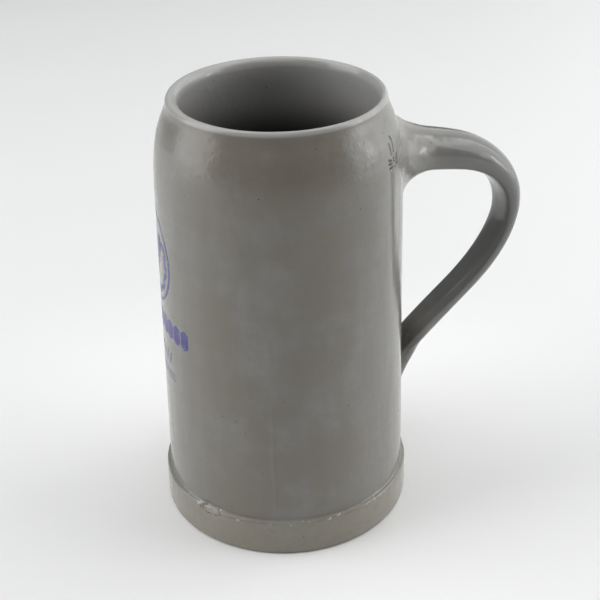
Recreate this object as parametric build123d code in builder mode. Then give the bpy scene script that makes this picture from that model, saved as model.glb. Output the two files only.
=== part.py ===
"""A one-litre stoneware beer stein without a lid: a turned body with a proud foot band,
a pulled ear-shaped handle luted on with slip, a fired cobalt transfer print and a
stamped capacity mark.

The frame is in millimetres: +Z up, the origin on the axis in the plane the foot stands
on, and the handle along +X. Nothing on the stein moves, so every piece is fixed.
"""

from build123d import *
from math import atan2, cos, degrees, hypot, radians, sin
import os

# --- Driving dimensions of the body -----------------------------------------------------
HEIGHT = 196.0
FOOT_RADIUS = 56.2
FOOT_HEIGHT = 17.2  # top of the proud band round the foot
FOOT_EDGE = 1.4  # rounding of the band's two edges
FOOT_RING_INNER = 46.0  # the stein stands on the ring outside this radius
UNDERSIDE_RECESS = 2.0
WALL_RADIUS_LOW = 54.2  # outside of the wall where it leaves the foot band
WALL_RADIUS_HIGH = 52.7  # outside of the wall where the shoulder begins
WALL_START = FOOT_HEIGHT + 0.8
SHOULDER_HEIGHT = 158.0
WALL = 7.8
FLOOR_TOP = 11.0  # the inside floor over the plane the foot stands on
FLOOR_CORNER = 11.0  # inside radius between floor and wall
LIP_OUTER_RADIUS = 45.9
LIP_INNER_RADIUS = 41.9
LIP_CREST_RADIUS = 44.4
LIP_OUTER_DEPTH = 3.0  # the lip's rounding reaches this far below the rim outside
LIP_INNER_DEPTH = 4.6  # and this far below it inside

# --- Driving dimensions of the handle ---------------------------------------------------
# Its centre line in the XZ plane: out of the shoulder, round and down to the wall.
HANDLE_LINE = [
    (44.0, 164.1),
    (75.5, 159.7),
    (100.1, 149.5),
    (110.4, 131.7),
    (105.4, 109.6),
    (77.7, 79.3),
    (46.0, 49.4),
]
# Its section along that line: share of the length, width across the hand, thickness.
HANDLE_SECTIONS = [
    (0.00, 24.6, 16.6),
    (0.12, 24.0, 15.4),
    (0.24, 21.8, 12.6),
    (0.37, 19.4, 10.2),
    (0.50, 18.0, 9.0),
    (0.68, 17.0, 8.6),
    (0.86, 16.4, 8.8),
    (1.00, 16.4, 9.2),
]
SLIP = 0.6  # slip between the handle's ends and the wall

# How the wiped slip spreads: distance along the handle, and how far past its section.
UPPER_SPREAD = [(0, 11.5), (6, 8.0), (12, 3.6), (19, 1.0), (27, 0.15)]
LOWER_SPREAD = [(0, 7.0), (7, 4.2), (14, 1.2), (22, 0.15)]

# --- Driving dimensions of the print ----------------------------------------------------
PRINT_THICKNESS = 0.15
PRINT_PLANE = 44.0  # the print is projected outwards from this distance off the axis
PRINT_REACH = 14.0
PRINT_AZIMUTH = 165.5  # degrees from the handle to the middle of the print
MEDALLION_HEIGHT = 127.2
MEDALLION_RADIUS = 22.0
MEDALLION_LINE = 1.4
EAR_FOOT = -11.0  # where the ears of barley meet, below the medallion's middle
EAR_LENGTH = 25.0
EAR_LEAN = 27.0  # how far the two outer ears lean, in degrees
GRAIN_PAIRS = 6
WREATH_RADIUS = 17.0
WREATH_LEAVES = 17
WREATH_STEP = 14.5  # degrees between leaves
WREATH_LEAF = (4.7, 2.5)
BAND_HEIGHT = 97.7  # middle of the row of pointed bars
BAND_HALF_ANGLE = 33.8  # from the print's middle to the middle of the last bar
BAR_COUNT = 11
BAR_SIZE = (5.2, 9.8)
BAR_POINT = 1.6  # height of each pointed end
LEAF_ROW_HEIGHT = 82.6
LEAF_ROW_HALF_ANGLE = 18.5
LEAF_COUNT = 9
LEAF_SIZE = (6.8, 1.5)
LEAF_LEAN = 72.0
RULE_HEIGHT = 73.8
RULE_HALF_ANGLE = 23.0
RULE_LINE = 0.8
RULE_GAP = 2.4  # between the middles of the two rule lines

# --- Driving dimensions of the capacity mark --------------------------------------------
MARK_AZIMUTH = -43.0
MARK_HEIGHT = 177.5
MARK_DEPTH = 0.6
MARK_STAIN = 0.2  # dark oxide left in the bottom of the strokes
MARK_STROKE = 0.7
# Each stroke from end to end, across and up from the mark's middle: two upright strokes,
# one of them hooked, over a fan of short bars.
MARK_LINES = [
    ((-2.8, 3.6), (-2.4, -1.1)),
    ((0.0, 5.6), (1.2, 4.3)),
    ((1.2, 4.3), (1.0, -1.2)),
    ((-5.8, -2.2), (-2.9, -3.5)),
    ((-6.2, -3.8), (-2.6, -4.8)),
    ((-5.6, -5.7), (-2.0, -6.2)),
    ((5.4, -3.0), (3.2, -3.7)),
    ((5.9, -4.5), (2.6, -5.1)),
    ((5.6, -6.3), (2.2, -6.6)),
    ((-0.4, -3.2), (0.3, -5.2)),
]


def wall_radius(height):
    """Outside radius of the straight wall at a height."""
    share = (height - WALL_START) / (SHOULDER_HEIGHT - WALL_START)
    return WALL_RADIUS_LOW + share * (WALL_RADIUS_HIGH - WALL_RADIUS_LOW)


def outside_line(grow=0.0):
    """Draw the turned outside from the foot's lower edge to the lip, grown outwards."""
    foot = FOOT_RADIUS + grow
    Line((foot - FOOT_EDGE, 0), (foot - FOOT_EDGE / 4, FOOT_EDGE / 4))
    Line((foot - FOOT_EDGE / 4, FOOT_EDGE / 4), (foot, FOOT_EDGE))
    Line((foot, FOOT_EDGE), (foot, FOOT_HEIGHT - FOOT_EDGE))
    RadiusArc((foot, FOOT_HEIGHT - FOOT_EDGE), (foot - FOOT_EDGE, FOOT_HEIGHT), -FOOT_EDGE)
    Line((foot - FOOT_EDGE, FOOT_HEIGHT), (WALL_RADIUS_LOW + grow, WALL_START))
    Line((WALL_RADIUS_LOW + grow, WALL_START), (WALL_RADIUS_HIGH + grow, SHOULDER_HEIGHT))
    Spline(
        (WALL_RADIUS_HIGH + grow, SHOULDER_HEIGHT),
        (51.3 + grow, 175.0),
        (48.4 + grow, 186.0),
        (LIP_OUTER_RADIUS + grow, HEIGHT - LIP_OUTER_DEPTH),
        tangents=[(-0.01, 1), (-0.08, 1)],
    )


def envelope(grow):
    """The stein's outside as a solid with no hollow, grown outwards."""
    with BuildPart() as solid:
        with BuildSketch(Plane.XZ):
            with BuildLine():
                outside_line(grow)
                Polyline(
                    (LIP_OUTER_RADIUS + grow, HEIGHT - LIP_OUTER_DEPTH),
                    (0, HEIGHT - LIP_OUTER_DEPTH),
                    (0, 0),
                    (FOOT_RADIUS + grow - FOOT_EDGE, 0),
                )
            make_face()
        revolve(axis=Axis.Z)
    return solid.part


def wall_plane(azimuth, height):
    """An upright plane inside the wall that faces outwards, with its X axis round the wall."""
    turn = radians(azimuth)
    return Plane(
        origin=(PRINT_PLANE * cos(turn), PRINT_PLANE * sin(turn), height),
        x_dir=(-sin(turn), cos(turn), 0),
        z_dir=(cos(turn), sin(turn), 0),
    )


def stroke_prisms():
    """The mark's strokes as upright prisms that stand out through the wall."""
    with BuildPart() as prisms:
        with BuildSketch(wall_plane(MARK_AZIMUTH, MARK_HEIGHT)):
            for (x1, y1), (x2, y2) in MARK_LINES:
                with Locations(((x1 + x2) / 2, (y1 + y2) / 2)):
                    lean = degrees(atan2(y2 - y1, x2 - x1))
                    SlotCenterToCenter(hypot(x2 - x1, y2 - y1), MARK_STROKE, rotation=lean)
        extrude(amount=PRINT_REACH)
    return prisms.part


def spaced(half_angle, count):
    """Azimuths of evenly spaced elements, centred on the print."""
    step = 2 * half_angle / (count - 1)
    return [PRINT_AZIMUTH - half_angle + step * i for i in range(count)]


stein_outside = envelope(0)
slip_outside = envelope(SLIP)
print_shell = envelope(PRINT_THICKNESS) - stein_outside
mark_floor = envelope(-MARK_DEPTH)
mark_prisms = stroke_prisms()

# --- The turned body --------------------------------------------------------------------
with BuildPart() as stein_body:
    with BuildSketch(Plane.XZ):
        with BuildLine():
            outside_line()
            Spline(
                (LIP_OUTER_RADIUS, HEIGHT - LIP_OUTER_DEPTH),
                (LIP_CREST_RADIUS, HEIGHT),
                tangents=[(-0.08, 1), (-1, 0)],
            )
            Spline(
                (LIP_CREST_RADIUS, HEIGHT),
                (LIP_INNER_RADIUS, HEIGHT - LIP_INNER_DEPTH),
                tangents=[(-1, 0), (0, -1)],
            )
            Spline(
                (LIP_INNER_RADIUS, HEIGHT - LIP_INNER_DEPTH),
                (WALL_RADIUS_HIGH - WALL, SHOULDER_HEIGHT + 5),
                tangents=[(0, -1), (0.01, -1)],
            )
            Line(
                (WALL_RADIUS_HIGH - WALL, SHOULDER_HEIGHT + 5),
                (WALL_RADIUS_LOW - WALL, FLOOR_TOP + FLOOR_CORNER),
            )
            RadiusArc(
                (WALL_RADIUS_LOW - WALL, FLOOR_TOP + FLOOR_CORNER),
                (WALL_RADIUS_LOW - WALL - FLOOR_CORNER, FLOOR_TOP),
                FLOOR_CORNER,
            )
            Polyline(
                (WALL_RADIUS_LOW - WALL - FLOOR_CORNER, FLOOR_TOP),
                (0, FLOOR_TOP),
                (0, UNDERSIDE_RECESS),
                (FOOT_RING_INNER - UNDERSIDE_RECESS, UNDERSIDE_RECESS),
                (FOOT_RING_INNER, 0),
                (FOOT_RADIUS - FOOT_EDGE, 0),
            )
        make_face()
    revolve(axis=Axis.Z)

    add(mark_prisms - mark_floor, mode=Mode.SUBTRACT)

# --- Dark oxide in the bottom of the stamped strokes ------------------------------------
with BuildPart() as capacity_mark_stain:
    add(mark_prisms)
    add(envelope(MARK_STAIN - MARK_DEPTH) - mark_floor, mode=Mode.INTERSECT)

# --- The pulled handle ------------------------------------------------------------------
with BuildLine(Plane.XZ) as handle_path:
    Spline(*HANDLE_LINE, tangents=[(1, -0.08), (-0.72, -0.69)])
handle_wire = handle_path.wires()[0]


def handle_plane(share):
    """The plane square to the handle's centre line at a share of its length."""
    return Plane(origin=handle_wire @ share, x_dir=(0, 1, 0), z_dir=handle_wire % share)


def handle_size(share):
    """Width and thickness of the handle at a share of its length."""
    for low, high in zip(HANDLE_SECTIONS, HANDLE_SECTIONS[1:]):
        if share <= high[0]:
            mix = (share - low[0]) / (high[0] - low[0])
            return low[1] + mix * (high[1] - low[1]), low[2] + mix * (high[2] - low[2])


with BuildPart() as handle:
    for share, width, thickness in HANDLE_SECTIONS:
        with BuildSketch(handle_plane(share)):
            Ellipse(width / 2, thickness / 2)
    loft()
    add(slip_outside, mode=Mode.SUBTRACT)


def slip_joint(spread_along, from_lower_end=False):
    """The slip under one end of the handle, wiped up round it in a hollow curve."""
    with BuildPart() as slip:
        for distance, spread in spread_along:
            share = distance / handle_wire.length
            if from_lower_end:
                share = 1 - share
            width, thickness = handle_size(share)
            with BuildSketch(handle_plane(share)):
                Ellipse(width / 2 + spread, thickness / 2 + spread)
        loft()
        add(handle.part, mode=Mode.SUBTRACT)
        add(stein_outside, mode=Mode.SUBTRACT)
    return slip


upper_slip_joint = slip_joint(UPPER_SPREAD)
lower_slip_joint = slip_joint(LOWER_SPREAD, from_lower_end=True)

# --- The fired print: each element is projected onto the wall as a thin skin ------------
with BuildPart() as medallion_ring_print:
    with BuildSketch(wall_plane(PRINT_AZIMUTH, MEDALLION_HEIGHT)):
        Circle(MEDALLION_RADIUS)
        Circle(MEDALLION_RADIUS - MEDALLION_LINE, mode=Mode.SUBTRACT)
    extrude(amount=PRINT_REACH)
    add(print_shell, mode=Mode.INTERSECT)

# Three ears of barley, the outer two leaning away from the middle one, over a wreath of leaves.
with BuildPart() as medallion_motif_print:
    with BuildSketch(wall_plane(PRINT_AZIMUTH, MEDALLION_HEIGHT)):
        for lean in (-EAR_LEAN, 0, EAR_LEAN):
            with Locations(Location((0, EAR_FOOT), -lean)):
                with Locations((0, EAR_LENGTH / 2)):
                    Rectangle(0.7, EAR_LENGTH)
                for pair in range(GRAIN_PAIRS):
                    rise = EAR_LENGTH * (0.42 + 0.095 * pair)
                    with Locations(Location((1.35, rise), -28)):
                        Ellipse(1.0, 1.9)
                    with Locations(Location((-1.35, rise), 28)):
                        Ellipse(1.0, 1.9)
        for leaf in range(WREATH_LEAVES):
            turn = -90 + WREATH_STEP * (leaf - (WREATH_LEAVES - 1) / 2)
            lean = turn + (60 if leaf % 2 else 120)
            centre = (WREATH_RADIUS * cos(radians(turn)), WREATH_RADIUS * sin(radians(turn)))
            with Locations(Location(centre, lean)):
                Ellipse(WREATH_LEAF[0] / 2, WREATH_LEAF[1] / 2)
    extrude(amount=PRINT_REACH)
    add(print_shell, mode=Mode.INTERSECT)

# A row of upright bars with pointed ends, the heaviest element of the print.
with BuildPart() as ornament_band_print:
    bar_azimuths = spaced(BAND_HALF_ANGLE, BAR_COUNT)
    with BuildSketch(*[wall_plane(azimuth, BAND_HEIGHT) for azimuth in bar_azimuths]):
        side, tip = BAR_SIZE[0] / 2, BAR_SIZE[1] / 2
        corner = tip - BAR_POINT
        Polygon((side, -corner), (side, corner), (0, tip), (-side, corner), (-side, -corner), (0, -tip))
    extrude(amount=PRINT_REACH)
    add(print_shell, mode=Mode.INTERSECT)

with BuildPart() as leaf_row_print:
    leaf_azimuths = spaced(LEAF_ROW_HALF_ANGLE, LEAF_COUNT)
    with BuildSketch(*[wall_plane(azimuth, LEAF_ROW_HEIGHT) for azimuth in leaf_azimuths]):
        Ellipse(LEAF_SIZE[0] / 2, LEAF_SIZE[1] / 2, rotation=LEAF_LEAN)
    extrude(amount=PRINT_REACH)
    add(print_shell, mode=Mode.INTERSECT)

# Two thin rules round the wall under the leaves.
rule_start = radians(PRINT_AZIMUTH - RULE_HALF_ANGLE)
rule_plane = Plane(
    origin=(0, 0, RULE_HEIGHT),
    x_dir=(cos(rule_start), sin(rule_start), 0),
    z_dir=(sin(rule_start), -cos(rule_start), 0),
)
with BuildPart() as rule_print:
    with BuildSketch(rule_plane):
        for side in (-1, 1):
            with Locations((wall_radius(RULE_HEIGHT), side * RULE_GAP / 2)):
                Rectangle(2, RULE_LINE)
    revolve(axis=Axis.Z, revolution_arc=2 * RULE_HALF_ANGLE)
    add(print_shell, mode=Mode.INTERSECT)

# --- Write one file for each piece ------------------------------------------------------
pieces = {
    "stein_body": stein_body,
    "handle": handle,
    "upper_slip_joint": upper_slip_joint,
    "lower_slip_joint": lower_slip_joint,
    "medallion_ring_print": medallion_ring_print,
    "medallion_motif_print": medallion_motif_print,
    "ornament_band_print": ornament_band_print,
    "leaf_row_print": leaf_row_print,
    "rule_print": rule_print,
    "capacity_mark_stain": capacity_mark_stain,
}
os.makedirs("parts", exist_ok=True)
for name, piece in pieces.items():
    piece.part.label = name
    export_step(piece.part, f"parts/{name}.step")
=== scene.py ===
"""The visible model of a grey salt-glazed stoneware stein, built round its CAD frame.

Lengths in the mesh functions are in millimetres and are scaled to metres when a mesh is
made. Positions round the stein are azimuths in degrees from the handle (+X), with +Y at 90.
"""

from math import asin, atan2, cos, degrees, exp, pi, radians, sin

import bmesh
import bpy
import numpy as np
from mathutils import Matrix, Vector, noise


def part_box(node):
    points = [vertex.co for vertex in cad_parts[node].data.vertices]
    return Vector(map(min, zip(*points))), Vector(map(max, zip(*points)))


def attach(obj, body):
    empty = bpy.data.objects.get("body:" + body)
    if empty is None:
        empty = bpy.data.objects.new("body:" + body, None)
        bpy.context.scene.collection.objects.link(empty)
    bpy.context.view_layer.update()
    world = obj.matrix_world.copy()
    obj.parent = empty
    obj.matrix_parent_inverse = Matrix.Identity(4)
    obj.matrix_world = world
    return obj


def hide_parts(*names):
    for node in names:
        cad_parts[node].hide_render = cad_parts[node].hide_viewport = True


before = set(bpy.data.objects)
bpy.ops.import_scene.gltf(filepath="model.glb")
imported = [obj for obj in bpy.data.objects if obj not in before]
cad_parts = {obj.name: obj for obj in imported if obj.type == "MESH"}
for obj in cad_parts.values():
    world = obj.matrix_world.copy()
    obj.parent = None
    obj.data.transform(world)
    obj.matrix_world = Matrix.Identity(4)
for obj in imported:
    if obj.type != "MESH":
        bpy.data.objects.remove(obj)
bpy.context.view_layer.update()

MM = 0.001
scene = bpy.context.scene

# --- Driving dimensions, read from the frame --------------------------------------------
_, body_high = (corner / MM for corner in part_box("stein_body"))
HEIGHT = body_high.z
FOOT_RADIUS = body_high.x


def polar(radius, azimuth, height):
    """A point from its distance from the axis, its azimuth in degrees and its height."""
    turn = radians(azimuth)
    return Vector((radius * cos(turn), radius * sin(turn), height))


# --- Camera -----------------------------------------------------------------------------
CAMERA_DISTANCE = 505.9
CAMERA_HEIGHT = 381.3
CAMERA_AZIMUTH = -108.9  # where the camera stands, in degrees round from the handle
CAMERA_YAW = 0.911  # how far right of the axis it looks
CAMERA_PITCH = 29.253
CAMERA_ROLL = -1.090
LENS = 77.98
SENSOR_WIDTH = 36.0
CLIP_NEAR = 0.01
CLIP_FAR = 20.0


def add_camera():
    """The camera at the viewing angle, looking down at the stein from above its rim."""
    data = bpy.data.cameras.new("camera")
    data.sensor_width = SENSOR_WIDTH
    data.lens = LENS
    data.clip_start = CLIP_NEAR
    data.clip_end = CLIP_FAR
    camera = add_object("camera", data)
    camera.location = polar(CAMERA_DISTANCE, CAMERA_AZIMUTH, CAMERA_HEIGHT) * MM
    turn = Matrix.Rotation(radians(CAMERA_AZIMUTH + 90 - CAMERA_YAW), 4, "Z")
    tip = Matrix.Rotation(pi / 2 - radians(CAMERA_PITCH), 4, "X")
    roll = Matrix.Rotation(radians(CAMERA_ROLL), 4, "Z")
    camera.rotation_euler = (turn @ tip @ roll).to_euler()
    scene.camera = camera


# --- Mesh helpers -----------------------------------------------------------------------
def make_object(name, points, faces):
    """A smooth-shaded mesh object from points in millimetres."""
    mesh = bpy.data.meshes.new(name)
    mesh.from_pydata([(x * MM, y * MM, z * MM) for x, y, z in points], [], faces)
    mesh.validate()
    mesh.update()
    mesh.shade_smooth()
    return add_object(name, mesh)


def add_object(name, data):
    """An object in the scene that holds a mesh, light or camera."""
    piece = bpy.data.objects.new(name, data)
    scene.collection.objects.link(piece)
    return piece


def from_surface(name, surface):
    """A mesh object from a bmesh surface in metres, which is used up."""
    mesh = bpy.data.meshes.new(name)
    surface.to_mesh(mesh)
    surface.free()
    return add_object(name, mesh)


def grid_faces(rows, columns, flip=False):
    """Quads over a closed ring of columns, from points stored row by row."""
    faces = []
    for row in range(rows - 1):
        for column in range(columns):
            right = (column + 1) % columns
            quad = (
                row * columns + column,
                row * columns + right,
                (row + 1) * columns + right,
                (row + 1) * columns + column,
            )
            faces.append(quad[::-1] if flip else quad)
    return faces


def smooth_step(low, high, value):
    """0 below low, 1 above high and a smooth rise between."""
    share = min(max((value - low) / (high - low), 0.0), 1.0)
    return share * share * (3 - 2 * share)


def arc(centre, radius, start, end, steps):
    """Points on an arc in the (radius, height) plane, between two angles in degrees."""
    angles = [radians(start + (end - start) * i / steps) for i in range(steps + 1)]
    return [(centre[0] + radius * cos(a), centre[1] + radius * sin(a)) for a in angles]


def curve_through(knots, spacing):
    """Points along a smooth curve through the knots (centripetal Catmull-Rom)."""
    ends = [2 * Vector(knots[0]) - Vector(knots[1]), 2 * Vector(knots[-1]) - Vector(knots[-2])]
    path = [ends[0]] + [Vector(knot) for knot in knots] + [ends[1]]
    points = []
    for before, start, end, after in zip(path, path[1:], path[2:], path[3:]):
        t1 = (start - before).length ** 0.5
        t2 = t1 + (end - start).length ** 0.5
        t3 = t2 + (after - end).length ** 0.5
        steps = max(2, round((end - start).length / spacing))
        for step in range(steps):
            t = t1 + (t2 - t1) * step / steps
            a1 = before.lerp(start, t / t1)
            a2 = start.lerp(end, (t - t1) / (t2 - t1))
            a3 = end.lerp(after, (t - t2) / (t3 - t2))
            b1 = a1.lerp(a2, t / t2)
            b2 = a2.lerp(a3, (t - t1) / (t3 - t1))
            points.append(tuple(b1.lerp(b2, (t - t1) / (t2 - t1))))
    return points + [tuple(knots[-1])]


# --- The turned body --------------------------------------------------------------------
FOOT_HEIGHT = 17.2  # top of the proud band round the foot
FOOT_LEDGE = 2.0  # how far the band stands out from the wall
WALL_START = FOOT_HEIGHT + 1.6
WALL_THICKNESS = 7.8
FLOOR_TOP = 11.0
FLOOR_CORNER = 11.0
UNDERSIDE_RECESS = 2.0
FOOT_RING_WIDTH = 9.0
LIP_CREST = 44.45  # radius of the lip's highest line
LIP_OUTER = 45.85
LIP_INNER = 41.5
LIP_SHIFT = 1.0  # the mouth's inner edge is off centre, so the lip is thicker on one side
LIP_SHIFT_AZIMUTH = -5.0
LIP_OUTER_DEPTH = 2.6  # the lip's rounding starts this far below the rim outside
LIP_INNER_DEPTH = 4.2  # and ends this far below it inside
LIP_FULLNESS = 0.85  # under 1, the curve inside the lip is fuller than a quarter ellipse
FOOT_EDGE = 1.4  # rounding of the edge that the stein stands on
BAND_EDGE = 1.1  # rounding of the band's upper edge

# Outside of the wall as (height, radius): a slight taper, the shoulder, then the lip.
WALL_KNOTS = [
    (WALL_START, FOOT_RADIUS - FOOT_LEDGE),
    (45, 54.0),
    (80, 53.5),
    (115, 53.15),
    (150, 52.75),
    (160, 52.6),
    (168, 52.15),
    (175, 51.3),
    (181, 50.1),
    (186, 48.4),
    (189.5, 46.95),
    (191.8, 46.15),
    (HEIGHT - LIP_OUTER_DEPTH, LIP_OUTER),
]
WALL_PATH = curve_through(WALL_KNOTS, 1.0)
WALL_HEIGHTS = np.array([point[0] for point in WALL_PATH])
WALL_RADII = np.array([point[1] for point in WALL_PATH])

MARK_AZIMUTH = -43.0
MARK_HEIGHT = 177.5
MARK_REACH = (7.4, 8.0)  # half the mark's width and height
STAMP_DEPTH = 0.34
STAMP_WIDTH = 0.42  # half the width of a stamped stroke
STAMP_RIM = 0.07  # how far the clay is pushed up beside a stroke

CHIP_AZIMUTH = -147.0
CHIP_DEPTH = 0.95

# A run of glaze down the wall. It fades in and out between these heights.
DRIP_AZIMUTH = -114.5
DRIP_DEPTH = 0.26
DRIP_WIDTH = 0.9
DRIP_FOOT = (14, 24)
DRIP_TOP = (66, 84)

# Where the hand that fixed the handle left the wall out of round.
PRESS_AZIMUTH = -46.5
PRESS_WIDTH = 9.0
PRESS_DEPTH = 0.5
PRESS_FOOT = (92, 126)
PRESS_TOP = (184, 191)

# Azimuth steps between mesh columns: the usual one, and the fine ones with their reach.
COLUMN_STEP = 1.5
FINE_SPOTS = [(MARK_AZIMUTH, 8.2, 0.2), (CHIP_AZIMUTH, 7.5, 0.55), (DRIP_AZIMUTH, 3.6, 0.45)]
# Height steps between mesh rows: on the plain wall, on the shoulder and across the stamp.
WALL_STEP = 1.8
SHOULDER_STEP = 0.5
STAMP_STEP = 0.19


def ripple(x, y, z, size):
    """Smooth unevenness between -1 and 1, with features about size across."""
    return noise.noise(Vector((x, y, z)) / size)


def hand_turned(azimuth, height, radius):
    """How far the clay stands off the true turned surface, in millimetres."""
    turn = radians(azimuth)
    x, y = radius * cos(turn), radius * sin(turn)
    broad = 0.16 * ripple(x, y, height + 500, 55)
    rings = 0.035 * ripple(x / 9, y / 9, height, 2.6) + 0.05 * ripple(x / 6, y / 6, height + 90, 7.0)
    grain = 0.03 * ripple(x, y, height, 4.0)
    return broad + rings + grain


def drip(azimuth, height, radius):
    """How far the run of glaze stands off the wall, in millimetres."""
    wander = DRIP_AZIMUTH + 1.1 * ripple(0, 0, height, 26) + 0.5 * ripple(3, 9, height, 7)
    across = radians(azimuth - wander) * radius
    length = smooth_step(*DRIP_FOOT, height) * (1 - smooth_step(*DRIP_TOP, height))
    ridge = exp(-((across / DRIP_WIDTH) ** 2))
    return DRIP_DEPTH * length * ridge * (1 + 0.5 * ripple(7, 0, height, 5))


def press(azimuth, height):
    """How far the wall was pressed in beside the handle: below 0 where it bulged instead."""
    turn = (azimuth - PRESS_AZIMUTH) / PRESS_WIDTH
    level = smooth_step(*PRESS_FOOT, height) * (1 - smooth_step(*PRESS_TOP, height))
    return PRESS_DEPTH * exp(0.5) * turn * exp(-turn * turn / 2) * level


def true_radius(height):
    """Radius of the outside of the wall before its unevenness."""
    return float(np.interp(height, WALL_HEIGHTS, WALL_RADII))


def wall_radius(azimuth, height):
    """Radius of the finished outside of the wall above the foot band."""
    radius = true_radius(height)
    uneven = hand_turned(azimuth, height, radius)
    return radius + uneven + drip(azimuth, height, radius) - press(azimuth, height)


# The stamped capacity mark: two upright strokes over a fan of short bars. Each stroke runs
# from one end to the other, in millimetres across and up from the mark's middle.
MARK_LINES = [
    ((-2.8, 3.6), (-2.4, -1.1)),
    ((0.0, 5.6), (1.2, 4.3)),
    ((1.2, 4.3), (1.0, -1.2)),
    ((-5.8, -2.2), (-2.9, -3.5)),
    ((-6.2, -3.8), (-2.6, -4.8)),
    ((-5.6, -5.7), (-2.0, -6.2)),
    ((5.4, -3.0), (3.2, -3.7)),
    ((5.9, -4.5), (2.6, -5.1)),
    ((5.6, -6.3), (2.2, -6.6)),
    ((-0.4, -3.2), (0.3, -5.2)),
]


def distance_to_line(point, line):
    """Distance from a 2D point to a short straight stroke."""
    start, end = Vector(line[0]), Vector(line[1])
    along = end - start
    share = min(max((Vector(point) - start).dot(along) / along.length_squared, 0), 1)
    return (Vector(point) - start - share * along).length


def stamped(azimuth, height, radius):
    """Depth of the capacity mark's strokes, with the clay pushed up beside them."""
    across = radians(azimuth - MARK_AZIMUTH) * radius
    up = height - MARK_HEIGHT
    if abs(across) > MARK_REACH[0] or abs(up) > MARK_REACH[1]:
        return 0.0
    nearest = min(distance_to_line((across, up), line) for line in MARK_LINES)
    rim = STAMP_RIM * exp(-(((nearest - 0.8) / 0.3) ** 2))
    return rim - STAMP_DEPTH * exp(-((nearest / STAMP_WIDTH) ** 4))


def foot_wear(azimuth, height):
    """Knocks and sags along the band's upper edge, in millimetres off its surface."""
    turn = radians(azimuth)
    x, y = FOOT_RADIUS * cos(turn), FOOT_RADIUS * sin(turn)
    edge = exp(-(((height - FOOT_HEIGHT + 0.8) / 1.4) ** 2))
    offset = edge * (0.16 * ripple(x, y, height, 6.0) + 0.10 * ripple(x, y, height, 2.2))
    along = radians(azimuth - CHIP_AZIMUTH) * FOOT_RADIUS
    scar = exp(-((along / 5.6) ** 4) - ((height - FOOT_HEIGHT + 1.2) / 2.3) ** 4)
    rough = 0.7 + 0.6 * ripple(x, y, height, 2.4) + 0.4 * ripple(x, y, height, 0.9)
    return offset - CHIP_DEPTH * scar * rough


def column_azimuths():
    """Azimuths round the stein, closer together at the stamp, the chip and the drip."""
    azimuths = [-180.0]
    while azimuths[-1] < 180 - COLUMN_STEP + 0.1:
        steps = [step for spot, reach, step in FINE_SPOTS if abs(azimuths[-1] - spot) < reach]
        azimuths.append(azimuths[-1] + min(steps + [COLUMN_STEP]))
    return azimuths


def wall_rows():
    """Heights up the outside of the wall, closer together at the stamp and the lip."""
    top = HEIGHT - LIP_OUTER_DEPTH
    heights = [WALL_START]
    while heights[-1] < top - 0.1:
        if abs(heights[-1] - MARK_HEIGHT) < MARK_REACH[1] + 0.4:
            step = STAMP_STEP
        elif heights[-1] > MARK_HEIGHT:
            step = SHOULDER_STEP
        else:
            step = WALL_STEP
        heights.append(min(heights[-1] + step, top))
    return heights


def foot_rows():
    """The section from the middle of the underside, over the foot ring and up the band."""
    ring_outer = FOOT_RADIUS - FOOT_EDGE
    ring_inner = ring_outer - FOOT_RING_WIDTH
    recess = ring_inner - 2.6
    rows = [(recess * share, UNDERSIDE_RECESS, "under") for share in (0.02, 0.15, 0.3, 0.45, 0.6, 0.75, 0.9)]
    slope = [(recess, UNDERSIDE_RECESS), (ring_inner - 1.2, 1.5), (ring_inner, 0.25)]
    rows += [(radius, height, "under") for radius, height in curve_through(slope, 0.5)]
    rows += [(ring_inner + FOOT_RING_WIDTH * share, 0.0, "under") for share in (0.06, 0.35, 0.65, 0.94)]
    band = arc((ring_outer, FOOT_EDGE), FOOT_EDGE, -80, 0, 6)
    rise = (FOOT_HEIGHT - 2.9) / 16
    band += [(FOOT_RADIUS, FOOT_EDGE + step * rise) for step in range(1, 16)]
    band += arc((FOOT_RADIUS - BAND_EDGE, FOOT_HEIGHT - BAND_EDGE), BAND_EDGE, 0, 72, 7)
    ledge = [
        (FOOT_RADIUS - BAND_EDGE, FOOT_HEIGHT),
        (FOOT_RADIUS - 1.65, FOOT_HEIGHT + 0.3),
        (FOOT_RADIUS - 1.95, FOOT_HEIGHT + 0.95),
    ]
    band += curve_through(ledge, 0.3)
    return rows + [(radius, height, "band") for radius, height in band]


def lip_rows():
    """The section over the lip, from the outside to the inside."""
    rows = []
    for step in range(1, 10):
        turn = pi / 2 * step / 9
        radius = LIP_CREST + (LIP_OUTER - LIP_CREST) * cos(turn)
        rows.append((radius, HEIGHT - LIP_OUTER_DEPTH + LIP_OUTER_DEPTH * sin(turn), "lip"))
    for step in range(1, 12):
        turn = pi / 2 * step / 12
        radius = LIP_CREST - (LIP_CREST - LIP_INNER) * sin(turn) ** LIP_FULLNESS
        height = HEIGHT - LIP_INNER_DEPTH + LIP_INNER_DEPTH * cos(turn) ** LIP_FULLNESS
        rows.append((radius, height, "lip"))
    return rows


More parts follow.
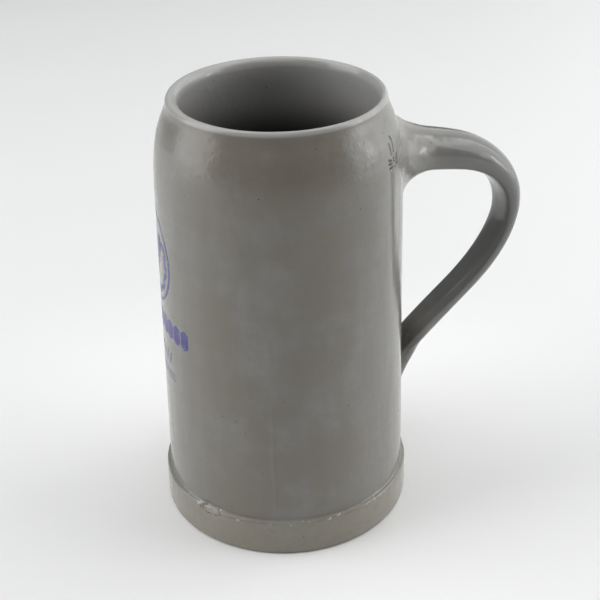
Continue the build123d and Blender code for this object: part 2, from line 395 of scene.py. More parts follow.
def inside_rows():
    """The section from under the lip, down the inside and across the floor."""
    low_radius = WALL_KNOTS[0][1] - WALL_THICKNESS
    wall = [
        (HEIGHT - LIP_INNER_DEPTH, LIP_INNER),
        (187, 42.0),
        (178, 43.5),
        (168, 44.55),
        (158, 44.9),
        (90, 45.65),
        (50, low_radius - 0.2),
        (FLOOR_TOP + FLOOR_CORNER, low_radius),
    ]
    rows = [(radius, height, "inside") for height, radius in curve_through(wall, 2.6)]
    corner = (low_radius - FLOOR_CORNER, FLOOR_TOP + FLOOR_CORNER)
    floor = arc(corner, FLOOR_CORNER, 0, -90, 9)[1:]
    floor += [(corner[0] * share, FLOOR_TOP) for share in (0.85, 0.65, 0.45, 0.25, 0.02)]
    return rows + [(radius, height, "floor") for radius, height in floor]


def body_rows():
    """The whole section: up the outside, over the lip and down to the middle of the floor."""
    wall = [(true_radius(height), height, "wall") for height in wall_rows()]
    return foot_rows() + wall + lip_rows() + inside_rows()


def lip_shift(azimuth):
    """How far the mouth's inner edge lies from true at an azimuth."""
    return LIP_SHIFT * cos(radians(azimuth - LIP_SHIFT_AZIMUTH))


def body_point(radius, height, zone, azimuth):
    """One point of the body's surface with its unevenness."""
    turn = radians(azimuth)
    x, y = radius * cos(turn), radius * sin(turn)
    if zone == "wall":
        radius = wall_radius(azimuth, height) + stamped(azimuth, height, radius)
    elif zone == "band":
        radius += hand_turned(azimuth, height, radius) + foot_wear(azimuth, height)
    elif zone == "lip":
        inwards = 1 - smooth_step(LIP_INNER, LIP_OUTER - 1.0, radius)
        radius += hand_turned(azimuth, height, LIP_OUTER) + inwards * lip_shift(azimuth)
        height += 0.14 * ripple(x, y, 40, 30) + 0.05 * ripple(x, y, 90, 8) - 0.12
    elif zone == "inside":
        throwing_rings = 0.1 * ripple(x / 12, y / 12, height + 30, 4.5)
        radius += hand_turned(azimuth, height, LIP_OUTER) + throwing_rings
        radius += lip_shift(azimuth) * smooth_step(168, HEIGHT - LIP_INNER_DEPTH, height)
    elif zone == "floor":
        height += 0.25 * ripple(x, y, 70, 16)
    elif height > 0:
        height += 0.12 * ripple(x, y, 30, 12)
    return tuple(polar(radius, azimuth, height))


def build_body():
    """The wall, floor, foot band and lip as one closed mesh."""
    azimuths = column_azimuths()
    rows = body_rows()
    points = [body_point(*row, azimuth) for row in rows for azimuth in azimuths]
    faces = grid_faces(len(rows), len(azimuths))
    last = len(points)
    points += [(0, 0, UNDERSIDE_RECESS), (0, 0, FLOOR_TOP)]
    top = (len(rows) - 1) * len(azimuths)
    for column in range(len(azimuths)):
        right = (column + 1) % len(azimuths)
        faces.append((last, right, column))
        faces.append((last + 1, top + column, top + right))
    return make_object("body", points, faces)


# --- The pulled handle ------------------------------------------------------------------
# Centre line as (distance from the axis, height): control points of a cubic B-spline that
# starts and ends just outside the wall. Straight runs carry it on into the wall.
HANDLE_CONTROLS = [
    (54.2, 163.2),
    (71.5, 160.6),
    (92.1, 157.4),
    (109.2, 142.2),
    (112.9, 121.6),
    (99.0, 97.5),
    (78.3, 80.2),
    (62.2, 65.0),
    (52.9, 55.9),
]
# Section along it: share of the spline, width across the hand, thickness.
HANDLE_SECTIONS = [
    (0.0, 24.8, 18.6),
    (0.25, 21.1, 12.9),
    (0.5, 17.5, 8.2),
    (0.75, 15.8, 8.2),
    (1.0, 14.6, 9.4),
]
# The hand-pulled section is widest near its inner face: share of the thickness outside the
# widest line, and how square each side's rounding is.
OUTER_SHARE = 0.64
OUTER_POWER = 2.1
INNER_POWER = 3.0
HANDLE_INTO_WALL = (3.5, 1.5)  # how far its upper and lower ends run on past the spline


def superellipse(turn, power):
    """Signed unit coordinates of a superellipse at an angle."""
    return tuple(abs(part) ** (2 / power) * (1 if part >= 0 else -1) for part in (cos(turn), sin(turn)))


def b_spline(controls, share):
    """A point on the clamped cubic B-spline over 2D control points."""
    degree = 3
    spans = len(controls) - degree
    knots = [0.0] * degree + [i / spans for i in range(spans + 1)] + [1.0] * degree
    span = degree + min(int(share * spans), spans - 1)
    work = [Vector(controls[span - degree + i]) for i in range(degree + 1)]
    for level in range(1, degree + 1):
        for i in range(degree, level - 1, -1):
            low = knots[span - degree + i]
            high = knots[span + 1 + i - level]
            work[i] = work[i - 1].lerp(work[i], (share - low) / (high - low))
    return work[degree]


LINE_SHARES = np.linspace(0, 1, 401)
LINE_POINTS = [b_spline(HANDLE_CONTROLS, share) for share in LINE_SHARES]
LINE_LENGTHS = np.cumsum([0.0] + [(b - a).length for a, b in zip(LINE_POINTS, LINE_POINTS[1:])])
HANDLE_LENGTH = float(LINE_LENGTHS[-1])


def handle_axis(distance):
    """Centre, direction and outward normal of the handle in its plane, at a length along it."""
    inside = min(max(distance, 0.6), HANDLE_LENGTH - 0.6)
    before, centre, after = (
        b_spline(HANDLE_CONTROLS, float(np.interp(inside + step, LINE_LENGTHS, LINE_SHARES)))
        for step in (-0.5, 0.0, 0.5)
    )
    direction = (after - before).normalized()
    return centre + direction * (distance - inside), direction, Vector((-direction.y, direction.x))


def handle_size(distance):
    """Width and thickness of the handle at a length along it."""
    share = float(np.interp(distance, LINE_LENGTHS, LINE_SHARES))
    stations, widths, thicknesses = zip(*HANDLE_SECTIONS)
    return [float(np.interp(share, stations, sizes)) for sizes in (widths, thicknesses)]


def handle_point(distance, turn, grow=0.0):
    """A point of the handle's surface: turn is 0 at the side towards +Y and 90 outside."""
    centre, _, normal = handle_axis(distance)
    width, thickness = handle_size(distance)
    across, up = superellipse(turn, OUTER_POWER if sin(turn) > 0 else INNER_POWER)
    side = (width / 2 + grow) * across
    reach = OUTER_SHARE if up > 0 else 1 - OUTER_SHARE
    out = (thickness * reach + grow) * up + thickness * (0.5 - OUTER_SHARE)
    x, z = centre + normal * out
    uneven = 1 + 0.012 * ripple(x, side, z, 16) + 0.006 * ripple(x, side, z + 60, 5)
    x, z = centre + normal * out * uneven
    return Vector((x, side * uneven, z))


def build_handle():
    """The strap of clay from inside the upper slip to inside the lower slip."""
    start, end = -HANDLE_INTO_WALL[0], HANDLE_LENGTH + HANDLE_INTO_WALL[1]
    rows, columns = 150, 72
    turns = [2 * pi * column / columns for column in range(columns)]
    points = []
    for row in range(rows):
        distance = start + (end - start) * row / (rows - 1)
        points += [tuple(handle_point(distance, turn)) for turn in turns]
    faces = grid_faces(rows, columns, flip=True)
    faces.append(tuple(range(columns)))
    faces.append(tuple(range((rows - 1) * columns, rows * columns))[::-1])
    return make_object("pulled_handle", points, faces)


# --- The slip wiped round the handle's ends ---------------------------------------------
def wall_point(across, height, sink=0.0):
    """A point on the wall at a distance across from the handle's plane."""
    azimuth = degrees(atan2(across, true_radius(height)))
    for _ in range(3):
        radius = wall_radius(azimuth, height) - sink
        azimuth = degrees(asin(across / radius))
    return polar(radius, azimuth, height)


def bezier(start, first, second, end, share):
    """A point on a cubic Bezier curve."""
    rest = 1 - share
    near_start = start * rest**3 + first * (3 * rest**2 * share)
    return near_start + second * (3 * rest * share**2) + end * share**3


def around(turn, side, outer, inner):
    """Blend of three values round the section: at its sides, its outside and its inside."""
    s = sin(turn)
    return side + (outer - side) * s * s if s > 0 else side + (inner - side) * s * s


SLIP_POWER = 2.2  # how square the slip's outline on the wall is
SLIP_LIFT = 0.02  # over the handle where it starts
SLIP_SINK = 0.10  # into the wall where it ends

# Where each slip leaves the handle and meets the wall. "leave" and "pull" hold a value for
# the handle's sides, its outer face and its inner face: how far up the handle the slip
# reaches, and how much its curve keeps to the handle and to the wall.
UPPER_SLIP = {
    "lower_end": False,
    "centre": 163.0,
    "half_width": 25.0,
    "outer_rise": 20.0,
    "inner_rise": 20.5,
    "leave": (15.0, 15.5, 17.0),
    "pull": ((0.36, 0.36), (0.38, 0.26), (0.34, 0.34)),
}
LOWER_SLIP = {
    "lower_end": True,
    "centre": 55.5,
    "half_width": 10.8,
    "outer_rise": -20.0,
    "inner_rise": -8.4,
    "leave": (10.0, 22.0, 4.5),
    "pull": ((0.36, 0.36), (0.16, 0.06), (0.42, 0.42)),
}


def slip_ring(slip, turn, steps):
    """One line of the slip from handle to wall, and back through the clay behind it."""
    lengthwise = -1 if slip["lower_end"] else 1
    at_end = HANDLE_LENGTH if slip["lower_end"] else 0.0
    distance = at_end + lengthwise * around(turn, *slip["leave"])
    start = handle_point(distance, turn, SLIP_LIFT)
    nearer_wall = handle_point(distance - lengthwise * 0.8, turn, SLIP_LIFT)
    side, up = superellipse(turn, SLIP_POWER)
    across = slip["half_width"] * side
    rise = up * (slip["outer_rise"] if up >= 0 else slip["inner_rise"])
    end = wall_point(across, slip["centre"] + rise, SLIP_SINK)
    further_in = wall_point(across * 0.97, slip["centre"] + rise * 0.97)
    span = (end - start).length
    near_handle, near_wall = (span * around(turn, *pulls) for pulls in zip(*slip["pull"]))
    first = start + (nearer_wall - start).normalized() * near_handle
    second = end + (further_in - end).normalized() * near_wall
    points = []
    for step in range(steps + 1):
        share = step / steps
        point = bezier(start, first, second, end, share)
        rub = 0.22 * ripple(*point, 7.0) + 0.12 * ripple(*point, 3.0)
        outwards = Vector((point.x - 40, point.y, point.z - slip["centre"])).normalized()
        points.append(tuple(point + outwards * rub * sin(pi * share)))
    points.append(tuple(wall_point(across * 0.995, slip["centre"] + rise, 1.2)))
    points.append(tuple(handle_point(at_end - lengthwise * 4.0, turn, -1.4)))
    points.append(tuple(handle_point(distance - lengthwise * 0.5, turn, -1.2)))
    return points


def build_slip(name, slip):
    """A ring of slip that leaves the handle and the wall tangent to both."""
    columns, steps = 112, 26
    points = []
    for column in range(columns):
        points += slip_ring(slip, 2 * pi * column / columns, steps)
    loop = len(points) // columns
    faces = []
    for column in range(columns):
        here, right = column * loop, (column + 1) % columns * loop
        for step in range(loop):
            after = (step + 1) % loop
            faces.append((here + step, here + after, right + after, right + step))
    if not slip["lower_end"]:
        faces = [face[::-1] for face in faces]
    piece = make_object(name, points, faces)
    for edge in piece.data.edges:
        first, second = (vertex % loop for vertex in edge.vertices)
        if first == second and first in (0, steps):
            edge.use_edge_sharp = True
    return piece


# --- The fired print --------------------------------------------------------------------
PRINT_AZIMUTH = 165.5
PRINT_LIFT = 0.05
PRINT_SINK = 0.12
PRINT_RADIUS = 53.4  # of the wall under the print
PRINT_FACET = 0.9  # largest flat piece, so the print follows the wall


def wrap_print(name, outlines, height):
    """A thin skin on the wall from flat outlines, in millimetres across and up from its centre."""
    flat = bmesh.new()
    for outline in outlines:
        flat.faces.new([flat.verts.new((x, y, 0)) for x, y in outline])
    xs = [vert.co.x for vert in flat.verts]
    ys = [vert.co.y for vert in flat.verts]
    for axis, values in ((Vector((1, 0, 0)), xs), (Vector((0, 1, 0)), ys)):
        for cut in np.arange(min(values) + 0.7, max(values), PRINT_FACET):
            everything = flat.verts[:] + flat.edges[:] + flat.faces[:]
            bmesh.ops.bisect_plane(flat, geom=everything, plane_co=axis * cut, plane_no=axis)
    bmesh.ops.triangulate(flat, faces=flat.faces[:])
    skin = bmesh.ops.extrude_face_region(flat, geom=flat.faces[:])
    upper = {element for element in skin["geom"] if isinstance(element, bmesh.types.BMVert)}
    for vert in flat.verts:
        azimuth = PRINT_AZIMUTH + degrees(vert.co.x / PRINT_RADIUS)
        up = height + vert.co.y
        radius = wall_radius(azimuth, up) + (PRINT_LIFT if vert in upper else -PRINT_SINK)
        vert.co = polar(radius, azimuth, up) * MM
    bmesh.ops.recalc_face_normals(flat, faces=flat.faces[:])
    return from_surface(name, flat)


def leaned(x, y, turn, centre):
    """A flat point turned about the origin and then moved by centre."""
    return centre[0] + x * cos(turn) - y * sin(turn), centre[1] + x * sin(turn) + y * cos(turn)


def ellipse(centre, half_width, half_height, lean, count=20):
    """Outline of a leaning ellipse."""
    outline = []
    for i in range(count):
        angle = 2 * pi * i / count
        outline.append(leaned(half_width * cos(angle), half_height * sin(angle), radians(lean), centre))
    return outline


def ring(radius, line, count=120):
    """Outlines of a ring as a row of short four-sided tiles."""
    corners = [(cos(2 * pi * i / count), sin(2 * pi * i / count)) for i in range(count)]
    inner = radius - line
    tiles = []
    for (x1, y1), (x2, y2) in zip(corners, corners[1:] + corners[:1]):
        outside = [(radius * x1, radius * y1), (radius * x2, radius * y2)]
        tiles.append(outside + [(inner * x2, inner * y2), (inner * x1, inner * y1)])
    return tiles


MEDALLION_HEIGHT = 127.2
MEDALLION_RADIUS = 22.0
MEDALLION_LINE = 1.4
EAR_FOOT = -11.0
EAR_LENGTH = 25.0
EAR_LEAN = 27.0
EAR_STALK = (0.35, 0.3)  # half the stalk's width at its foot and tip
EAR_BARE = 0.42  # share of the stalk below its first grains
GRAIN_PAIRS = 6
GRAIN_PITCH = 0.095  # share of the stalk from one pair to the next
GRAIN = (0.95, 1.9)  # half a grain's width and length
GRAIN_SPREAD = 1.55  # from the stalk to the middle of a grain
GRAIN_LEAN = 28.0
WREATH_RADIUS = 17.0
WREATH_LEAVES = 17
WREATH_STEP = 14.5  # degrees between leaves
WREATH_LEAF = (2.35, 1.25)  # half its length and width
WREATH_LEANS = (120, 60)  # inwards and outwards by turns
BAR_SIZE = (5.2, 9.8, 1.6)  # width, height and the height of each pointed end
BAR_PITCH = 6.3
BAR_COUNT = 11
BAND_HEIGHT = 97.7
LEAF_COUNT = 9
LEAF_STEP = 4.625  # degrees round the wall
LEAF = (3.4, 0.75)  # half its length and width
LEAF_LEAN = 72.0
LEAF_ROW_HEIGHT = 82.6
RULE_REACH = 23.0  # degrees round the wall to each side
RULE_HALF_LINE = 0.4
RULE_SPREAD = 1.2  # of each rule from the middle of the pair
RULES_HEIGHT = 73.8


def barley_ears():
    """Three ears of barley that spread from one foot."""
    foot = (0, EAR_FOOT)
    low, tip = EAR_STALK
    outlines = []
    for lean in (-EAR_LEAN, 0, EAR_LEAN):
        turn = radians(-lean)
        stalk = [(-low, 0), (low, 0), (tip, EAR_LENGTH), (-tip, EAR_LENGTH)]
        outlines.append([leaned(x, y, turn, foot) for x, y in stalk])
        for pair in range(GRAIN_PAIRS):
            rise = EAR_LENGTH * (EAR_BARE + GRAIN_PITCH * pair)
            for side in (-1, 1):
                centre = leaned(side * GRAIN_SPREAD, rise, turn, foot)
                outlines.append(ellipse(centre, *GRAIN, degrees(turn) - side * GRAIN_LEAN))
    return outlines


def wreath():
    """Leaning leaves round the lower part of the ring."""
    outlines = []
    for leaf in range(WREATH_LEAVES):
        turn = radians(-90 + WREATH_STEP * (leaf - (WREATH_LEAVES - 1) / 2))
        centre = (WREATH_RADIUS * cos(turn), WREATH_RADIUS * sin(turn))
        outlines.append(ellipse(centre, *WREATH_LEAF, degrees(turn) + WREATH_LEANS[leaf % 2]))
    return outlines


def pointed_bar(x):
    """Outline of an upright bar with pointed ends."""
    width, height, point = BAR_SIZE
    corner = height / 2 - point
    right = [(x + width / 2, -corner), (x + width / 2, corner), (x, height / 2)]
    left = [(x - width / 2, corner), (x - width / 2, -corner), (x, -height / 2)]
    return right + left


def row_of(count, pitch):
    """Evenly spaced places across the print, centred on its middle."""
    return [pitch * (i - (count - 1) / 2) for i in range(count)]


def rule(y):
    """Outline of a thin line across the print."""
    low, high = y - RULE_HALF_LINE, y + RULE_HALF_LINE
    reach = radians(RULE_REACH) * PRINT_RADIUS
    return [(-reach, low), (reach, low), (reach, high), (-reach, high)]


def build_prints():
    """The medallion, the row of pointed bars, the leaves and the rules, as separate skins."""
    circle = ring(MEDALLION_RADIUS, MEDALLION_LINE)
    motif = barley_ears() + wreath()
    band = [pointed_bar(x) for x in row_of(BAR_COUNT, BAR_PITCH)]
    leaf_pitch = radians(LEAF_STEP) * PRINT_RADIUS
    leaves = [ellipse((x, 0), *LEAF, LEAF_LEAN) for x in row_of(LEAF_COUNT, leaf_pitch)]
    rules = [rule(-RULE_SPREAD), rule(RULE_SPREAD)]
    return {
        "medallion_ring_print": wrap_print("medallion_ring", circle, MEDALLION_HEIGHT),
        "medallion_motif_print": wrap_print("medallion_motif", motif, MEDALLION_HEIGHT),
        "ornament_band_print": wrap_print("ornament_band", band, BAND_HEIGHT),
        "leaf_row_print": wrap_print("leaf_row", leaves, LEAF_ROW_HEIGHT),
        "rule_print": wrap_print("rules", rules, RULES_HEIGHT),
    }


# A stain ribbon: half its width and depth, and how far under the wall it lies.
STAIN_HALF_WIDTH = 0.50
STAIN_HALF_DEPTH = 0.06
STAIN_SINK = 0.06
STAIN_STEP = 0.35  # longest stretch between two sections
STAIN_END = 0.55  # share of the width left at both ends
STAIN_CORNERS = [
    (-1, -STAIN_HALF_DEPTH),
    (1, -STAIN_HALF_DEPTH),
    (1, STAIN_HALF_DEPTH),
    (-1, STAIN_HALF_DEPTH),
]


def stain_corner(middle, side, offset, depth):
    """One corner of a ribbon's section, as a point on the wall in metres."""
    across, up = middle + side * offset
    height = MARK_HEIGHT + up
    azimuth = MARK_AZIMUTH + degrees(across / true_radius(height))
    return polar(wall_radius(azimuth, height) - STAIN_SINK + depth, azimuth, height) * MM


def build_stain():
    """Dark oxide left in the bottom of the stamped strokes, as closed ribbons."""
    ribbons = bmesh.new()
    for line in MARK_LINES:
        start, end = Vector(line[0]), Vector(line[1])
        along = (end - start).normalized()
        side = Vector((-along.y, along.x)) * STAIN_HALF_WIDTH
        steps = max(2, round((end - start).length / STAIN_STEP))
        sections = []
        for step in range(steps + 1):
            middle = start.lerp(end, step / steps)
            taper = STAIN_END if step in (0, steps) else 1.0
            corners = [stain_corner(middle, side, out * taper, depth) for out, depth in STAIN_CORNERS]
            sections.append([ribbons.verts.new(corner) for corner in corners])
        for before, after in zip(sections, sections[1:]):
            for i in range(4):
                right = (i + 1) % 4
                ribbons.faces.new((before[i], before[right], after[right], after[i]))
        ribbons.faces.new(sections[0][::-1])
        ribbons.faces.new(sections[-1])
    bmesh.ops.recalc_face_normals(ribbons, faces=ribbons.faces[:])
    return from_surface("mark_stain", ribbons)


# --- Materials --------------------------------------------------------------------------
class Shading:
    """A node material being put together: each method adds one node and returns its output."""

    def __init__(self, name):
        self.material = bpy.data.materials.new(name)
        self.material.use_nodes = True
        self.nodes = self.material.node_tree.nodes
        self.links = self.material.node_tree.links
        self.shader = self.nodes["Principled BSDF"]
        coordinates = self.nodes.new("ShaderNodeTexCoord")
        self.position = coordinates.outputs["Object"]

    def link(self, source, target):
        """Feed an input from another node's output, or set it to a plain value."""
        if isinstance(source, (int, float, tuple)):
            target.default_value = source
        else:
            self.links.new(source, target)

    def stretched(self, scale):
        """Object coordinates scaled by three factors."""
        node = self.nodes.new("ShaderNodeMapping")
        self.links.new(self.position, node.inputs["Vector"])
        node.inputs["Scale"].default_value = scale
        return node.outputs["Vector"]

    def noise(self, size, detail=3.0, roughness=0.5, vector=None):
        """Noise with features about size millimetres across, from 0 to 1."""
        node = self.nodes.new("ShaderNodeTexNoise")
        self.links.new(vector or self.position, node.inputs["Vector"])
        node.inputs["Scale"].default_value = 1 / (size * MM)
        node.inputs["Detail"].default_value = detail
        node.inputs["Roughness"].default_value = roughness
        return node.outputs["Fac"]

    def cells(self, size):
        """Distance to the nearest of scattered points about size millimetres apart."""
        node = self.nodes.new("ShaderNodeTexVoronoi")
        self.links.new(self.position, node.inputs["Vector"])
        node.inputs["Scale"].default_value = 1 / (size * MM)
        return node.outputs["Distance"]

    def ramp(self, source, low, high, from_value=0.0, to_value=1.0):
        """Remaps low..high to from_value..to_value, held at the ends, with a smooth rise."""
        node = self.nodes.new("ShaderNodeMapRange")
        node.interpolation_type = "SMOOTHSTEP"
        self.link(source, node.inputs["Value"])
        names = ("From Min", "From Max", "To Min", "To Max")
        for name, value in zip(names, (low, high, from_value, to_value)):
            node.inputs[name].default_value = value
        return node.outputs["Result"]

    def math(self, operation, first, second=0.0):
        """One arithmetic node."""
        node = self.nodes.new("ShaderNodeMath")
        node.operation = operation
        self.link(first, node.inputs[0])
        self.link(second, node.inputs[1])
        return node.outputs[0]

    def product(self, *factors):
        """All the factors multiplied together."""
        result = factors[0]
        for factor in factors[1:]:
            result = self.math("MULTIPLY", result, factor)
        return result

    def mix(self, share, first, second):
        """A colour between two colours."""
        node = self.nodes.new("ShaderNodeMix")
        node.data_type = "RGBA"
        self.link(share, node.inputs["Factor"])
        self.link(first, node.inputs[6])
        self.link(second, node.inputs[7])
        return node.outputs[2]

    def bump(self, height, distance):
        """A bump of height times distance millimetres."""
        node = self.nodes.new("ShaderNodeBump")
        node.inputs["Distance"].default_value = distance * MM
        self.links.new(height, node.inputs["Height"])
        return node.outputs["Normal"]

    def vector_math(self, operation, first, second=None):
        """One vector arithmetic node."""
        node = self.nodes.new("ShaderNodeVectorMath")
        node.operation = operation
        self.links.new(first, node.inputs[0])
        if second is not None:
            node.inputs[1].default_value = second
        return node.outputs

    def by_height(self, low, high, from_value=0.0, to_value=1.0):
        """A ramp over the height above the foot, in millimetres."""
        node = self.nodes.new("ShaderNodeSeparateXYZ")
        self.links.new(self.position, node.inputs[0])
        return self.ramp(node.outputs["Z"], low * MM, high * MM, from_value, to_value)

    def by_radius(self, low, high, from_value=0.0, to_value=1.0):
        """A ramp over the distance from the stein's axis, in millimetres."""
        radius = self.vector_math("LENGTH", self.stretched((1, 1, 0)))["Value"]
        return self.ramp(radius, low * MM, high * MM, from_value, to_value)

    def distance(self, centre, squash):
        """Metres from a point given in millimetres, with heights counted "squash" times over."""
        scaled = self.vector_math("MULTIPLY", self.position, (1.0, 1.0, squash))["Vector"]
        centre = Vector(centre) * MM
        return self.vector_math("DISTANCE", scaled, (centre.x, centre.y, centre.z * squash))["Value"]

    def near_azimuth(self, azimuth, none, full):
        """1 on the side of the stein that faces an azimuth, 0 away from it."""
        outwards = self.vector_math("NORMALIZE", self.stretched((1, 1, 0)))["Vector"]
        facing = self.vector_math("DOT_PRODUCT", outwards, polar(1, azimuth, 0))["Value"]
        return self.ramp(facing, none, full)

    def finish(self, color, roughness, normal):
        """Connect colour, roughness and normal to the shader."""
        self.link(color, self.shader.inputs["Base Color"])
        self.link(roughness, self.shader.inputs["Roughness"])
        self.links.new(normal, self.shader.inputs["Normal"])
        return self.material


GREY = (0.208, 0.205, 0.187, 1)
PALE_GREY = (0.236, 0.233, 0.216, 1)
DARK_GREY = (0.190, 0.184, 0.164, 1)
WARM_GREY = (0.190, 0.164, 0.130, 1)
COOL_SHADED_HANDLE_GREY = (0.168, 0.171, 0.166, 1)  # the handle: cooler, out of reach of the kiln flash, and painted darker as shade
# painted highlight along the upward-facing lip
LIP_PAINTED_HIGHLIGHT = (0.380, 0.378, 0.365, 1)
# painted light and shade inside the mouth: pale high on the inner wall, dark deep down
INSIDE_PAINTED_LIGHT = (0.400, 0.396, 0.385, 1)
INSIDE_PAINTED_SHADE = (0.020, 0.019, 0.017, 1)
FOOT_TINT = (0.285, 0.262, 0.214, 1)
# bare clay in the chip, and in spots on the band's edge that are both wear and painted glints
BARE_CLAY_AND_GLINT = (0.430, 0.412, 0.365, 1)
PIT_COLOR = (0.050, 0.040, 0.030, 1)
CHIP_EDGE = (0.060, 0.046, 0.034, 1)
CREVICE_PAINTED_SHADE = (0.060, 0.058, 0.050, 1)  # painted shade in the corner under the handle's lower end
FLASH_AZIMUTH = -112.0  # the side of the stein that the kiln fire turned brownish
CREVICE_SHADE_CENTRE = (59.0, -4.0, 54.0)
CHIP_CENTRE = polar(FOOT_RADIUS, CHIP_AZIMUTH, 16.3)
CHIP_SQUASH = 2.4  # how much longer than high the chip is
GLAZE_IOR = 1.52


def glaze_color(glaze):
    """Streaked and ringed grey, with the kiln's brown flash on one side."""
    streaks = glaze.noise(9, 3.0, 0.55, vector=glaze.stretched((1.0, 1.0, 0.22)))
    rings = glaze.noise(6, 2.0, 0.6, vector=glaze.stretched((0.06, 0.06, 1.6)))
    color = glaze.mix(glaze.ramp(streaks, 0.3, 0.7), GREY, PALE_GREY)
    color = glaze.mix(glaze.ramp(rings, 0.35, 0.75, 0.0, 0.25), color, DARK_GREY)
    patches = glaze.ramp(glaze.noise(30, 3.5, 0.55), 0.32, 0.58)
    flash = glaze.product(patches, glaze.near_azimuth(FLASH_AZIMUTH, 0.55, 0.95), 0.72)
    return glaze.mix(flash, color, WARM_GREY)


def zoned_color(glaze, color):
    """The glaze's other tones: foot band, a cooler handle with painted shade, painted shade in the corner
    under it, painted shade and light inside, and a painted highlight on the lip.
    """
    color = glaze.mix(glaze.by_height(15.0, 18.5, 0.75, 0.0), color, FOOT_TINT)
    # the handle is cooler, and painted darker as shade
    color = glaze.mix(glaze.by_radius(66, 80, 0.0, 0.9), color, COOL_SHADED_HANDLE_GREY)
    # painted shade in the crevice under the handle's lower end
    crevice_shade = glaze.ramp(glaze.distance(CREVICE_SHADE_CENTRE, 0.6), 8 * MM, 17 * MM, 0.85, 0.0)
    color = glaze.mix(crevice_shade, color, CREVICE_PAINTED_SHADE)
    mottle = glaze.ramp(glaze.noise(3.2, 4.0, 0.6), 0.35, 0.75, 0.0, 0.35)
    color = glaze.mix(mottle, color, DARK_GREY)
    bore = glaze.product(glaze.by_radius(46.2, 47.0, 1.0, 0.0), glaze.by_height(186, 188, 1.0, 0.0))
    bore = glaze.math("MAXIMUM", bore, glaze.by_radius(43.8, 44.6, 1.0, 0.0))
    inside = glaze.product(bore, glaze.by_height(4, 5))
    # painted shade: the inside is painted darker towards the bottom and paler near the top, for how light
    # falls into the mouth
    painted_inside_shade = glaze.mix(glaze.by_height(157, 186), INSIDE_PAINTED_SHADE, INSIDE_PAINTED_LIGHT)
    color = glaze.mix(inside, color, painted_inside_shade)
    # painted highlight: the top of the lip is painted paler
    return glaze.mix(glaze.by_height(193.6, 194.8, 0.0, 0.9), color, LIP_PAINTED_HIGHLIGHT)


def worn_color(glaze, color):
    """Pale spots along the band's upper edge, worn bare clay and painted glints, and the chip with its
    broken dark outline.
    """
    edge = glaze.product(glaze.by_height(15.2, 16.4), glaze.by_height(17.2, 17.7, 1.0, 0.0))
    # worn bare clay and painted glints: pale spots along the band's upper edge
    wear_and_glints = glaze.product(edge, glaze.ramp(glaze.noise(2.6, 3.0, 0.6), 0.60, 0.68))
    color = glaze.mix(wear_and_glints, color, BARE_CLAY_AND_GLINT)
    uneven = glaze.product(glaze.noise(2.6, 3.0, 0.6), 6.8 * MM)
    ragged = glaze.math("ADD", glaze.distance(CHIP_CENTRE, CHIP_SQUASH), uneven)
    scar = glaze.ramp(ragged, 7.0 * MM, 8.4 * MM, 0.25, 0.0)
    color = glaze.mix(scar, color, BARE_CLAY_AND_GLINT)
    rim = glaze.ramp(ragged, 7.9 * MM, 8.4 * MM)
    outline = glaze.product(rim, glaze.ramp(ragged, 8.7 * MM, 9.3 * MM, 1.0, 0.0))
    broken = glaze.ramp(glaze.noise(1.5, 2.0), 0.44, 0.52)
    on_band = glaze.product(glaze.by_height(17.4, 17.8, 1.0, 0.0), broken)
    return glaze.mix(glaze.product(outline, on_band), color, CHIP_EDGE)


def stoneware():
    """Grey stoneware under a salt glaze: mottled, flecked with iron and pitted like orange peel."""
    glaze = Shading("salt_glaze")
    color = worn_color(glaze, zoned_color(glaze, glaze_color(glaze)))
    pits = glaze.ramp(glaze.cells(5.5), 0.035, 0.08, 1.0, 0.0)
    flecks = glaze.product(pits, glaze.ramp(glaze.noise(14, 1.0), 0.48, 0.58))
    color = glaze.mix(flecks, color, PIT_COLOR)
    shoulder = glaze.product(
        glaze.by_height(162, 180),
        glaze.by_height(192, 194, 1.0, 0.0),
        glaze.by_radius(53, 55, 1.0, 0.0),
    )
    relief = glaze.math("ADD", glaze.noise(2.4, 2.0, 0.45), glaze.product(glaze.noise(0.55, 2.0), 0.16))
    relief = glaze.product(relief, glaze.math("ADD", glaze.product(shoulder, 0.9), 1.0))
    relief = glaze.math("SUBTRACT", relief, glaze.product(flecks, 0.8))
    roughness = glaze.ramp(glaze.noise(11, 3.0), 0.3, 0.7, 0.13, 0.20)
    roughness = glaze.math("ADD", roughness, glaze.product(flecks, 0.3))
    roughness = glaze.math("ADD", roughness, glaze.product(shoulder, 0.068))
    glaze.shader.inputs["IOR"].default_value = GLAZE_IOR
    return glaze.finish(color, roughness, glaze.bump(relief, 0.075))


COBALT = (0.050, 0.043, 0.215, 1)
THIN_COBALT = (0.15, 0.14, 0.36, 1)
PALE_COBALT = (0.085, 0.082, 0.170, 1)
THIN_PALE_COBALT = (0.19, 0.185, 0.27, 1)
GLAZE_UNDER_PRINT = (0.24, 0.24, 0.27, 1)
OXIDE = (0.014, 0.013, 0.012, 1)
THIN_OXIDE = (0.045, 0.042, 0.038, 1)


def fired_print(name, ink, thin_ink):
    """Cobalt colour fired into the glaze, thinner in places, with small missed spots."""
    paint = Shading(name)
    thin = paint.noise(4.0, 4.0, 0.6)
    color = paint.mix(paint.ramp(thin, 0.45, 0.78, 0.0, 0.7), ink, thin_ink)
    missed = paint.ramp(paint.cells(2.1), 0.05, 0.12, 1.0, 0.0)
    missed = paint.product(missed, paint.ramp(paint.noise(5.0, 1.0), 0.5, 0.58))
    color = paint.mix(missed, color, GLAZE_UNDER_PRINT)
    normal = paint.bump(paint.noise(1.2, 2.0), 0.05)
    roughness = paint.ramp(paint.noise(3.0), 0.3, 0.7, 0.24, 0.36)
    paint.shader.inputs["IOR"].default_value = GLAZE_IOR
    return paint.finish(color, roughness, normal)


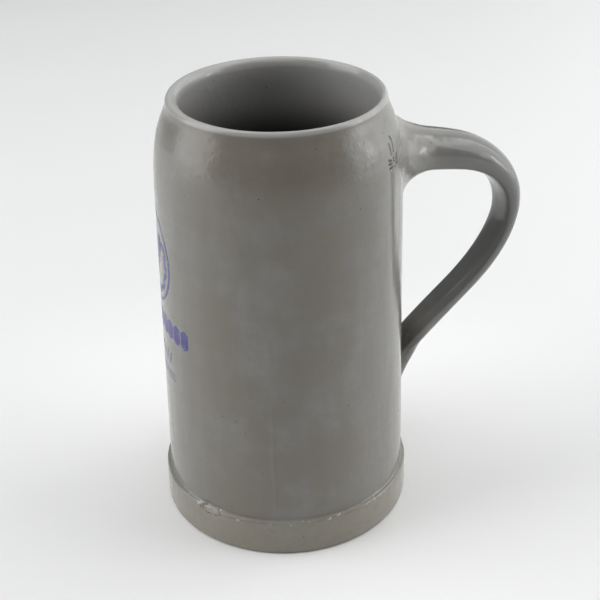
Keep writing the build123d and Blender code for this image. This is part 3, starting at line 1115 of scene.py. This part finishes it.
def oxide_stain():
    """Dark iron oxide pooled in the stamped strokes."""
    stain = Shading("oxide_stain")
    color = stain.mix(stain.noise(0.8, 3.0), OXIDE, THIN_OXIDE)
    roughness = stain.ramp(stain.noise(1.0), 0.3, 0.7, 0.3, 0.5)
    return stain.finish(color, roughness, stain.bump(stain.noise(0.4), 0.05))


# --- Surroundings -----------------------------------------------------------------------
PAPER = (0.760, 0.765, 0.767, 1)
PALE_PAPER = (0.782, 0.787, 0.790, 1)
# painted light on the floor near the foot, filling in the stein's shadow
PAPER_PAINTED_LIGHT_BY_FOOT = (0.865, 0.868, 0.870, 1)
FLOOR_RADIUS = 4.0  # in metres


def build_floor():
    """A plain pale sweep under the stein, with painted light near the foot that fills in the stein's shadow.
    """
    surface = bmesh.new()
    bmesh.ops.create_circle(surface, cap_ends=True, segments=96, radius=FLOOR_RADIUS)
    floor = from_surface("floor", surface)
    paper = Shading("pale_paper")
    color = paper.mix(paper.noise(160, 2.0), PAPER, PALE_PAPER)
    # painted light: paler near the foot, filling in the stein's shadow
    color = paper.mix(paper.by_radius(75, 240, 1.0, 0.0), color, PAPER_PAINTED_LIGHT_BY_FOOT)
    floor.data.materials.append(paper.finish(color, 0.6, paper.bump(paper.noise(1.5), 0.01)))


PANEL_AIM = Vector((0, 0, 0.1))  # the middle of the stein


def add_panel(name, azimuth, elevation, distance, size, power):
    """A soft light panel that faces the stein, placed by its azimuth clockwise from the camera."""
    data = bpy.data.lights.new(name, "AREA")
    data.shape = "RECTANGLE"
    data.size, data.size_y = size
    data.energy = power
    panel = add_object(name, data)
    rise = radians(elevation)
    out = distance * polar(cos(rise), CAMERA_AZIMUTH - azimuth, sin(rise))
    panel.location = PANEL_AIM + out
    panel.rotation_euler = out.to_track_quat("Z", "Y").to_euler()
    panel.visible_camera = False


# Name, azimuth from the camera, elevation, distance in metres, width and height, watts.
PANELS = [
    ("tent_top", 180, 84, 2.2, (2.6, 2.6), 15.0),
    ("tent_top_back", 180, 55, 2.0, (2.4, 1.4), 4.0),
    ("tent_front_top", 30, 74, 2.0, (1.6, 0.8), 2.0),
    ("tent_left", 84, 20, 1.3, (1.0, 1.3), 10.4),
    ("tent_right", -95, 20, 1.3, (1.2, 1.3), 10.6),
    ("tent_left_high", 95, 55, 1.6, (1.2, 1.0), 6.8),
    ("tent_right_high", -95, 55, 1.6, (1.2, 1.0), 5.2),
    ("tent_right_back", -140, 20, 1.5, (1.2, 1.3), 5.0),
    ("tent_back", 180, 30, 1.8, (1.4, 1.0), 1.6),
    ("right_strip", -87, 8, 1.3, (0.13, 0.4), 1.0),
    ("room_behind_camera", 0, 46, 1.6, (0.9, 0.5), 1.8),
]


ROOM_COLOR = (0.93, 0.94, 0.95, 1)
ROOM_STRENGTH = 0.015


def light_scene():
    """A light tent: bright at both sides and above, and dark where the camera stands."""
    for panel in PANELS:
        add_panel(*panel)
    world = bpy.data.worlds.new("room")
    scene.world = world
    world.use_nodes = True
    background = world.node_tree.nodes["Background"].inputs
    background["Color"].default_value = ROOM_COLOR
    background["Strength"].default_value = ROOM_STRENGTH
    scene.view_settings.view_transform = "Standard"


# --- Put the stein together -------------------------------------------------------------
def place(piece, node, material):
    """A finished piece stands for its CAD node and moves with the stein."""
    piece.data.materials.append(material)
    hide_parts(node)
    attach(piece, "root")


add_camera()
build_floor()
light_scene()

salt_glaze = stoneware()
cobalt = fired_print("cobalt_print", COBALT, THIN_COBALT)
pale_cobalt = fired_print("pale_cobalt_print", PALE_COBALT, THIN_PALE_COBALT)

place(build_body(), "stein_body", salt_glaze)
place(build_handle(), "handle", salt_glaze)
place(build_slip("upper_slip", UPPER_SLIP), "upper_slip_joint", salt_glaze)
place(build_slip("lower_slip", LOWER_SLIP), "lower_slip_joint", salt_glaze)
for node, piece in build_prints().items():
    if node in ("leaf_row_print", "rule_print"):
        place(piece, node, pale_cobalt)
    else:
        place(piece, node, cobalt)
place(build_stain(), "capacity_mark_stain", oxide_stain())
